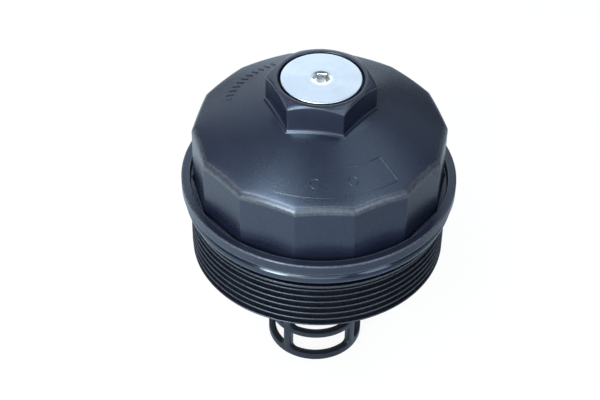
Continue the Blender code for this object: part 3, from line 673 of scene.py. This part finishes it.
def plugTurning():
    values = plugSizes
    face = [(radius, values["top"]) for radius in values["faceRings"]]
    outside = roundedProfile([
        (0, values["end"] + values["tipHollow"]), (values["tip"], values["end"], 0.3),
        (values["root"] - 0.6, values["end"], 0.3),
        (values["root"], values["end"] + values["threadFrom"]), (values["root"], values["shoulder"] - 0.5),
        (values["neck"], values["shoulder"]), (values["neck"], values["top"] - values["head"], 0.2),
        (values["radius"], values["top"] - values["head"], 0.25), (values["radius"], values["top"], 0.22),
        *face, (values["socketMouth"] + 0.15, values["top"]),
        (values["socketMouth"] - 0.1, values["top"] - 0.035),
    ], 3)
    rings = plainRings(outside)
    bottom = values["top"] - values["socketDepth"]
    rings += [socketRing(0.08, 0.0), socketRing(0.0, 0.08)]
    rings.append(lambda azimuth: (socketRadius(azimuth), bottom))
    rings += plainRings([(2.2, bottom), (0, bottom - 0.8)])
    body = spunRings(rings, 6, 24, values["turn"], crowd=0.6, closed=False)
    section = ridge(values["root"], values["thread"], values["crest"], values["flank"], values["buried"])
    low = values["end"] + values["threadFrom"]
    steps = int((values["shoulder"] - values["threadTo"] - low) / values["pitch"] * values["perTurn"])
    turns = steps / values["perTurn"]
    helix = arcSection([(r, low + z) for r, z in section], 2 * pi * turns, steps, 0.0,
                       rise=values["pitch"] * turns)
    fadeEnds(helix, values["root"] - values["buried"], low, values["pitch"], turns)
    markEdges(helix)
    return joined(body, helix)


makePiece("drainPlugScrew", plugTurning(), plugAluminium, plugBody, "plug_aluminium", "drain_plug")


# Filter support: one wall of rings and struts, with its windows left open
supportSizes = {
    "radius": 17.3, "inner": 14.8, "footRing": 3.1, "ring": 2.3, "window": 8.8, "rows": 6, "struts": 4,
    "strut": radians(10), "turn": radians(54), "cornerSpan": radians(7), "columns": 11, "windowCorner": 1.6,
    "rim": 0.28, "sharp": radians(60), "top": 99.0, "seat": 96.4, "seatHole": 8.5,
    "upper": (   # above the windows, as steps from the outer and the inner wall: (step, height, step, height)
        (0, 71.0, 0, 71.7), (0, 72.2, -0.9, 72.5), (0, 73.0, -0.9, 73.3), (0, 74.0, 0, 73.3),   # catch
        (0, 95.0, 0, 94.9), (0.62, 95.3, 0, 95.1), (0.7, 95.5, 0, 95.3), (0.7, 96.3, 0, 95.6),   # snap ring
        (0.62, 96.5, 0, 95.8), (0, 96.8, 0, 96.0), (0, 98.6, 0, 96.2), (-0.4, 99.0, -0.2, 96.4),
    ),
}


def supportLevels():
    # outer and inner (radius, height) of each level of the wall, and the levels where windows start
    values = supportSizes
    outer, inner, hole = values["radius"], values["inner"], values["seatHole"]
    top, seat = values["top"], values["seat"]
    levels = [(outer - 0.4, 0.0, inner + 0.2, 0.0), (outer, 0.4, inner, 0.2)]
    starts = []
    for row in range(values["rows"]):
        low = values["footRing"] + row * (values["window"] + values["ring"])
        starts.append(len(levels))
        levels += [(outer, low, inner, low), (outer, low + values["window"], inner, low + values["window"])]
    for out, high, into, low in values["upper"]:
        levels.append((outer + out, high, inner + into, low))
    levels += [(hole + 0.3, top, hole + 0.2, seat), (hole, top - 0.3, hole, seat + 0.2)]
    return levels, starts


def supportAzimuths():
    values = supportSizes
    quarter = 2 * pi / values["struts"]
    open_ = quarter - values["strut"] - 2 * values["cornerSpan"]
    spots = []
    for strut in range(values["struts"]):
        start = values["turn"] + strut * quarter
        spots += [start - values["strut"] / 2, start, start + values["strut"] / 2]
        first = start + values["strut"] / 2 + values["cornerSpan"]
        spots += [first + open_ * step / values["columns"] for step in range(values["columns"] + 1)]
    return spots


def supportWall():
    values = supportSizes
    levels, starts = supportLevels()
    spots = supportAzimuths()
    perQuarter = len(spots) // values["struts"]
    bm = bmesh.new()
    column, level = bm.verts.layers.int.new("column"), bm.verts.layers.int.new("level")
    bmesh.ops.create_grid(bm, x_segments=len(spots), y_segments=len(levels) - 1, size=1.0)
    for vert in bm.verts:
        vert[column] = round((vert.co.x + 1) / 2 * len(spots))
        vert[level] = round((vert.co.y + 1) / 2 * (len(levels) - 1))
    openings = []
    for face in bm.faces:
        fromColumn = min(vert[column] for vert in face.verts) % perQuarter
        if fromColumn >= 2 and min(vert[level] for vert in face.verts) in starts:
            openings.append(face)
    bmesh.ops.delete(bm, geom=openings, context="FACES")
    for vert in bm.verts:
        azimuth = spots[vert[column] % len(spots)]
        radius, height = levels[vert[level]][:2]
        vert.co = (radius * cos(azimuth), radius * sin(azimuth), height)
    bmesh.ops.remove_doubles(bm, verts=bm.verts, dist=0.0005)
    grown = bmesh.ops.extrude_face_region(bm, geom=bm.faces[:])
    within = [item for item in grown["geom"] if isinstance(item, bmesh.types.BMVert)]
    inside = set(within)
    for vert in within:
        azimuth = spots[vert[column] % len(spots)]
        radius, height = levels[vert[level]][2:]
        vert.co = (radius * cos(azimuth), radius * sin(azimuth), height)
    bmesh.ops.recalc_face_normals(bm, faces=bm.faces)
    return bm, inside, column, level, starts, perQuarter


def filterSupport():
    values = supportSizes
    bm, inside, column, level, starts, perQuarter = supportWall()
    corners = []
    for edge in bm.edges:
        one, other = edge.verts
        through = (one in inside) != (other in inside)
        atCorner = one[column] % perQuarter in (2, 0) and one[level] in starts
        if through and atCorner:
            corners.append(edge)
    bmesh.ops.bevel(bm, geom=corners, offset=values["windowCorner"], offset_type="OFFSET", segments=4,
                    profile=0.5, affect="EDGES", clamp_overlap=False, material=-1)
    windows = values["rows"] * (values["window"] + values["ring"]) - values["ring"]
    windowTop = values["footRing"] + windows + 0.1
    bm.normal_update()
    rims = []
    for edge in bm.edges:
        middle = (edge.verts[0].co + edge.verts[1].co) / 2
        sharp = len(edge.link_faces) == 2 and edge.calc_face_angle(0.0) > values["sharp"]
        if sharp and values["footRing"] - 0.1 < middle.z < windowTop:
            rims.append(edge)
    bmesh.ops.bevel(bm, geom=rims, offset=values["rim"], offset_type="OFFSET", segments=2, profile=0.5,
                    affect="EDGES", clamp_overlap=True, material=-1)
    bmesh.ops.recalc_face_normals(bm, faces=bm.faces)
    markEdges(bm)
    return bm


makePiece("filterSupportCage", filterSupport(), supportNylon, capBody, "support_nylon", "filter_support")


# Bypass valve, its washer, spring and retainer
valveSizes = {
    "washerTop": 96.1, "washer": 10.6, "washerHole": 6.0, "washerThickness": 1.2, "play": 0.3, "head": 6.8,
    "headTop": 97.2, "disc": 11.2, "discTop": 94.6, "discUnder": 93.2, "guide": 5.0, "guideEnd": 90.4,
    "stem": 2.0, "stemEnd": 68.1, "lift": 4.0,
}
retainerSizes = {"top": 75.6, "under": 73.6, "hub": 7.8, "hole": 2.3, "rimInner": 12.5, "rimOuter": 14.5,
                 "spokes": 3, "spokeWidth": 2.4, "spokeThickness": 1.6, "spokeEdge": 0.25,
                 "spokeInto": 0.6, "turn": radians(54)}
springSizes = {"low": 75.9, "length": 17.0, "wire": 1.4, "radius": 6.0, "turns": 6, "endRise": 1.47,
               "perTurn": 48, "around": 14}


def valvePlunger():
    values = valveSizes
    neck, headUnder = values["washerHole"] - values["play"], values["washerTop"] + values["play"]
    return turned(roundedProfile([
        (0, values["headTop"]), (values["head"], values["headTop"], 0.25),
        (values["head"], headUnder, 0.2), (neck, headUnder),
        (neck, values["discTop"]), (values["disc"], values["discTop"], 0.25),
        (values["disc"], values["discUnder"], 0.4), (values["guide"], values["discUnder"], 0.3),
        (values["guide"], values["guideEnd"], 0.4), (values["stem"], values["guideEnd"], 0.4),
        (values["stem"], values["stemEnd"], 0.5), (0, values["stemEnd"]),
    ], 3), 84, closed=False)


def valveWasherRing():
    values = valveSizes
    low = values["washerTop"] - values["washerThickness"]
    return turned(roundedProfile([
        (values["washerHole"], values["washerTop"], 0.15), (values["washer"], values["washerTop"], 0.3),
        (values["washer"], low, 0.3), (values["washerHole"], low, 0.15),
    ], 3), 84)


def retainerDisc():
    values = retainerSizes
    top, under = values["top"], values["under"]
    hub = turned(roundedProfile([(values["hole"], top, 0.2), (values["hub"], top, 0.3),
                                 (values["hub"], under, 0.3), (values["hole"], under, 0.2)], 3), 72)
    rim = turned(roundedProfile([(values["rimInner"], top, 0.3), (values["rimOuter"], top, 0.3),
                                 (values["rimOuter"], under, 0.3), (values["rimInner"], under, 0.3)], 3), 96)
    spokes = []
    for index in range(values["spokes"]):
        spoke = bmesh.new()
        bmesh.ops.create_cube(spoke, size=1.0)
        size = (values["rimInner"] - values["hub"] + 2 * values["spokeInto"], values["spokeWidth"],
                values["spokeThickness"])
        bmesh.ops.scale(spoke, vec=size, verts=spoke.verts)
        bmesh.ops.bevel(spoke, geom=spoke.edges[:], offset=values["spokeEdge"], offset_type="OFFSET",
                        segments=2, profile=0.5, affect="EDGES", clamp_overlap=True, material=-1)
        bmesh.ops.translate(spoke, vec=((values["rimInner"] + values["hub"]) / 2, 0, (top + under) / 2),
                            verts=spoke.verts)
        angle = values["turn"] + 2 * pi * index / values["spokes"]
        bmesh.ops.rotate(spoke, verts=spoke.verts, matrix=Matrix.Rotation(angle, 3, "Z"))
        markEdges(spoke)
        spokes.append(spoke)
    return joined(hub, rim, *spokes)


def springCoil():
    # one section swept three times: a closed turn, the open coils, a closed turn
    values = springSizes
    half = values["wire"] / 2
    bm = bmesh.new()
    made = bmesh.ops.create_circle(bm, segments=values["around"], radius=half)
    bmesh.ops.rotate(bm, verts=made["verts"], matrix=Matrix.Rotation(pi / 2, 3, "X"))
    bmesh.ops.translate(bm, verts=made["verts"], vec=(values["radius"], 0, values["low"] + half))
    section = bm.verts[:] + bm.edges[:]
    travel = values["length"] - values["wire"] - 2 * values["endRise"]
    openTurns = values["turns"] - 2
    for turns, rise in ((1, values["endRise"]), (openTurns, travel), (1, values["endRise"])):
        steps = turns * values["perTurn"]
        swept = bmesh.ops.spin(bm, geom=section, cent=(0, 0, 0), axis=(0, 0, 1), dvec=(0, 0, rise / steps),
                               angle=2 * pi * turns, steps=steps)
        section = swept["geom_last"]
    bmesh.ops.remove_doubles(bm, verts=bm.verts, dist=0.0004)
    bmesh.ops.holes_fill(bm, edges=[edge for edge in bm.edges if edge.is_boundary])
    bmesh.ops.recalc_face_normals(bm, faces=bm.faces)
    return bm


makePiece("bypassPlunger", valvePlunger(), valveNylon, valveBody, "valve_nylon", "bypass_valve")
makePiece("bypassWasher", valveWasherRing(), oiledRubber, valveBody, "seal_rubber", "valve_washer")
makePiece("springRetainer", retainerDisc(), supportNylon, capBody, "support_nylon", "spring_retainer")
spring = makePiece("bypassSpring", springCoil(), springWire, capBody, "spring_steel", "bypass_spring")
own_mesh(spring)
print("valve made")


# Camera, as the photograph was taken
cameraSetup = {"place": (0.0, -0.37574, 0.40453), "pitch": 0.736, "yaw": -0.0168, "roll": 0.0166,
               "lens": 86.87, "sensor": 36.0}


def placeCamera(values):
    pitch, yaw, roll = values["pitch"], values["yaw"], values["roll"]
    ahead = Vector((sin(yaw) * cos(pitch), cos(yaw) * cos(pitch), -sin(pitch)))
    level = Vector((cos(yaw), -sin(yaw), 0))
    upright = level.cross(ahead)
    right = cos(roll) * level + sin(roll) * upright
    up = cos(roll) * upright - sin(roll) * level
    data = bpy.data.cameras.new("camera")
    data.lens = values["lens"]
    data.sensor_width = values["sensor"]
    camera = bpy.data.objects.new("camera", data)
    turn = Matrix((right, up, -ahead)).transposed().to_4x4()
    camera.matrix_world = Matrix.Translation(values["place"]) @ turn
    bpy.context.scene.collection.objects.link(camera)
    bpy.context.scene.camera = camera


placeCamera(cameraSetup)


# Pale floor and soft boxes, each a metre from the cap
floorSetup = {
    "size": 6.0, "colour": (0.92, 0.93, 0.94, 1), "glow": 0.92,
    "mirrored": (0.69, 0.84, 0.96, 1),   # colour the floor shows in the cap's gloss, a painted reflection
    "dim": 0.45, "dimFrom": 0.03, "dimTo": 0.12,   # that gloss is darker at the right
    "bright": (1.0, 1.16, 1.24, 1), "brightFrom": 0.12, "brightTo": 0.18,   # and brighter at the front left
}
lampTint, lowTint = (0.82, 0.91, 1.0), (0.83, 0.88, 0.88)
lampSetup = {
    # name: azimuth, elevation, width and height, power, colour if it differs
    "keyLow": (240, 12, (0.3, 0.42), 9.4, lowTint),
    "keyHigh": (210, 62, (0.45, 0.45), 5.9),
    "keyRight": (240, 62, (0.45, 0.45), 2.35),
    "frontLow": (270, 10, (0.6, 0.3), 2.3, lowTint),
    "frontMiddle": (276, 35, (0.6, 0.5), 1.8, lowTint),
    "keyMiddle": (243, 35, (0.5, 0.5), 6.0, lowTint),
    "rightLow": (315, 21, (0.35, 0.65), 2.9),
    "rightHigh": (330, 62, (0.45, 0.45), 1.7),
    "backRight": (34, 62, (0.5, 0.45), 1.0),
    "backLeft": (170, 42, (0.45, 0.3), 0.6),
    "backTop": (150, 62, (0.45, 0.45), 0.27),
    "above": (0, 80, (0.45, 0.45), 0.26),
    "backLow": (90, 12, (0.5, 0.3), 0.68),
    "back": (90, 26, (0.5, 0.3), 0.68),
    "backHigh": (90, 42, (0.45, 0.3), 0.42),
    "backSide": (117, 27, (0.45, 0.75), 0.9),
    "backFar": (52, 36, (0.5, 0.6), 0.28),
}
lampAim = Vector((0, 0, 0.08))
worldSetup = {"level": 0.015, "mirrored": 0.15}   # light from the room, and its strength in gloss


def makeFloor(values):
    bm = bmesh.new()
    bmesh.ops.create_grid(bm, x_segments=1, y_segments=1, size=values["size"] / 2)
    mesh = bpy.data.meshes.new("paleFloor")
    bm.to_mesh(mesh)
    bm.free()
    floor = bpy.data.objects.new("paleFloor", mesh)
    bpy.context.scene.collection.objects.link(floor)
    paint = Finish("paleFloor", Roughness=0.9, Specular_IOR_Level=0.0)
    paint.feed(paint.shader.inputs["Base Color"], values["colour"])
    path = paint.node("LightPath", out="Is Camera Ray")
    seen = (path + path.beside("Is Glossy Ray") + path.beside("Is Transmission Ray")).clamped()
    across = paint.node("SeparateXYZ", None, {0: paint.place}, out="X")
    lit = paint.ramp(0 - across - across.beside("Y"), values["brightFrom"], values["brightTo"])
    dim = paint.ramp(across, values["dimFrom"], values["dimTo"]) * values["dim"]
    # painted reflection: the floor's colour in gloss, darker at the right and brighter at the front left
    mirrored = paint.mix(dim, paint.mix(lit, values["mirrored"], values["bright"]), (0, 0, 0, 1))
    white = paint.node("Emission", None, {"Color": paint.mix(path, mirrored, (1, 1, 1, 1)), "Strength": 1.0})
    both = paint.node("MixShader", None, {0: seen * values["glow"], 1: Wire(paint, paint.shader.outputs[0]),
                                          2: white})
    paint.feed(paint.tree.nodes["Material Output"].inputs["Surface"], both)
    mesh.materials.append(paint.material)


def makeLamps(values):
    for name, (azimuth, elevation, size, power, *tint) in values.items():
        data = bpy.data.lights.new(name, "AREA")
        data.shape = "RECTANGLE"
        data.size, data.size_y = size
        data.energy = power
        data.color = tint[0] if tint else lampTint
        lamp = bpy.data.objects.new(name, data)
        around, up = radians(azimuth), radians(elevation)
        away = Vector((cos(around) * cos(up), sin(around) * cos(up), sin(up)))
        lamp.location = lampAim + away
        lamp.rotation_euler = away.to_track_quat("Z", "Y").to_euler()
        bpy.context.scene.collection.objects.link(lamp)


def makeWorld(values):
    world = bpy.data.worlds.new("studio")
    bpy.context.scene.world = world
    paint = Finish.ofWorld(world)
    path = paint.node("LightPath", out="Is Camera Ray")
    shiny = path.beside("Is Glossy Ray") + path.beside("Is Transmission Ray")
    paint.feed(paint.shader.inputs["Color"], paint.mix(path, (*lampTint, 1), (1, 1, 1, 1)))
    paint.feed(paint.shader.inputs["Strength"],
               values["level"] + path * (1 - values["level"]) + shiny * values["mirrored"])


makeFloor(floorSetup)
makeLamps(lampSetup)
makeWorld(worldSetup)
bpy.context.scene.view_settings.view_transform = "Standard"
print("studio made")
